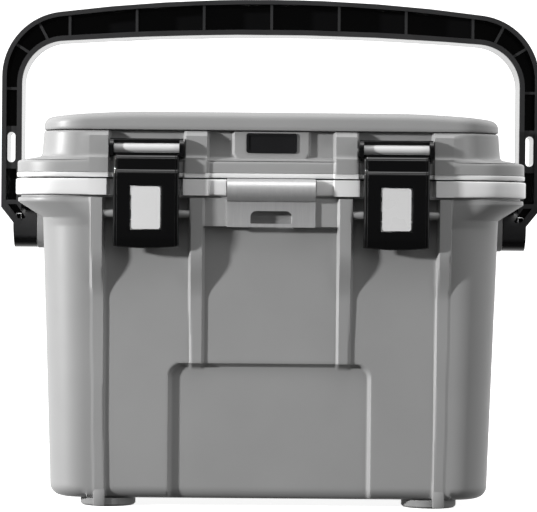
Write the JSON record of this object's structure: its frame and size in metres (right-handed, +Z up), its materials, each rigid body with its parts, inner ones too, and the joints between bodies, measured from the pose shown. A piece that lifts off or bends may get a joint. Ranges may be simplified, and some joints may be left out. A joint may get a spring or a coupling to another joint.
{
  "type": "hard-sided cooler box",
  "caption": "Small hard-sided cooler with a hinged insulated lid, swinging carry handle and two press-and-pull latches.",
  "frame": {"origin": "centre of the base, on the floor under the feet", "axes": "+X to the viewer's right when facing the latches, along the handle's axle; +Y to the back, where the lid hinges; +Z up"},
  "size_m": [0.448, 0.29, 0.4134],
  "materials": {
    "grey_shell": "fine moulded grain",
    "dark_grey_plastic": "moulded, semi-matt",
    "pale_trim": "smooth moulded",
    "pale_button": "smooth moulded",
    "white_liner": "smooth moulded",
    "insulation": "cellular",
    "brushed_plate": "brushed",
    "gasket_rubber": "matt",
    "foot_rubber": "matt grey",
    "black_plastic": "glossy moulded",
    "plate_plastic": "semi-gloss",
    "steel_fasteners": "satin"
  },
  "bodies": {
    "base": {"outer_shell": "grey_shell", "front_ribs": "grey_shell", "front_apron": "grey_shell", "inner_liner": "white_liner", "base_foam": "insulation", "rim_frame": "pale_trim", "lock_plate": "brushed_plate", "lock_plate_rivets": "steel_fasteners", "foot_front_left": "foot_rubber", "foot_front_right": "foot_rubber", "foot_rear_left": "foot_rubber", "foot_rear_right": "foot_rubber", "foot_screws": "steel_fasteners", "keeper_bar_left": "grey_shell", "keeper_bar_right": "grey_shell", "pivot_hub_left": "grey_shell", "pivot_hub_right": "grey_shell", "pivot_bolt_left": "steel_fasteners", "pivot_bolt_right": "steel_fasteners", "pivot_washer_left": "steel_fasteners", "pivot_washer_right": "steel_fasteners", "hinge_block_left": "black_plastic", "hinge_block_right": "black_plastic", "hinge_block_screws": "steel_fasteners", "hinge_pin_left": "steel_fasteners", "hinge_pin_right": "steel_fasteners"},
    "lid": {"lid_shell": "grey_shell", "lid_cap": "grey_shell", "lid_liner": "white_liner", "lid_foam": "insulation", "lid_trim": "pale_trim", "lid_gasket": "gasket_rubber", "lid_liner_screws": "steel_fasteners", "name_plate": "plate_plastic", "latch_bracket_left": "pale_trim", "latch_bracket_right": "pale_trim", "latch_bracket_screws": "steel_fasteners", "latch_pin_left": "steel_fasteners", "latch_pin_right": "steel_fasteners", "hinge_strap_left": "black_plastic", "hinge_strap_right": "black_plastic", "hinge_strap_screws": "steel_fasteners"},
    "handle": {"handle_frame": "black_plastic", "pivot_cap_left": "dark_grey_plastic", "pivot_cap_right": "dark_grey_plastic"},
    "latch_left": {"latch_lever_left": "black_plastic", "latch_yoke_left": "black_plastic", "button_pin_left": "steel_fasteners", "button_spring_left": "steel_fasteners"},
    "latch_right": {"latch_lever_right": "black_plastic", "latch_yoke_right": "black_plastic", "button_pin_right": "steel_fasteners", "button_spring_right": "steel_fasteners"},
    "button_left": {"release_button_left": "pale_button"},
    "button_right": {"release_button_right": "pale_button"}
  },
  "joints": [
    {"name": "lid_hinge", "type": "hinge", "parent": "base", "child": "lid", "pos_m": [0, 0.14, 0.262], "axis": [-1, 0, 0], "range_deg": [0, 20]},
    {"name": "handle_swing", "type": "hinge", "parent": "base", "child": "handle", "pos_m": [0, 0, 0.2247], "axis": [1, 0, 0], "range_deg": [-118, 118]},
    {"name": "latch_left_swing", "type": "hinge", "parent": "lid", "child": "latch_left", "pos_m": [-0.0988, -0.133, 0.286], "axis": [-1, 0, 0], "range_deg": [0, 90]},
    {"name": "latch_right_swing", "type": "hinge", "parent": "lid", "child": "latch_right", "pos_m": [0.0988, -0.133, 0.286], "axis": [-1, 0, 0], "range_deg": [0, 90]},
    {"name": "button_left_press", "type": "hinge", "parent": "latch_left", "child": "button_left", "pos_m": [-0.0988, -0.1395, 0.228], "axis": [-1, 0, 0], "range_deg": [0, 8], "stiffness_Nm_per_rad": 0.05},
    {"name": "button_right_press", "type": "hinge", "parent": "latch_right", "child": "button_right", "pos_m": [0.0988, -0.1395, 0.228], "axis": [-1, 0, 0], "range_deg": [0, 8], "stiffness_Nm_per_rad": 0.05}
  ]
}
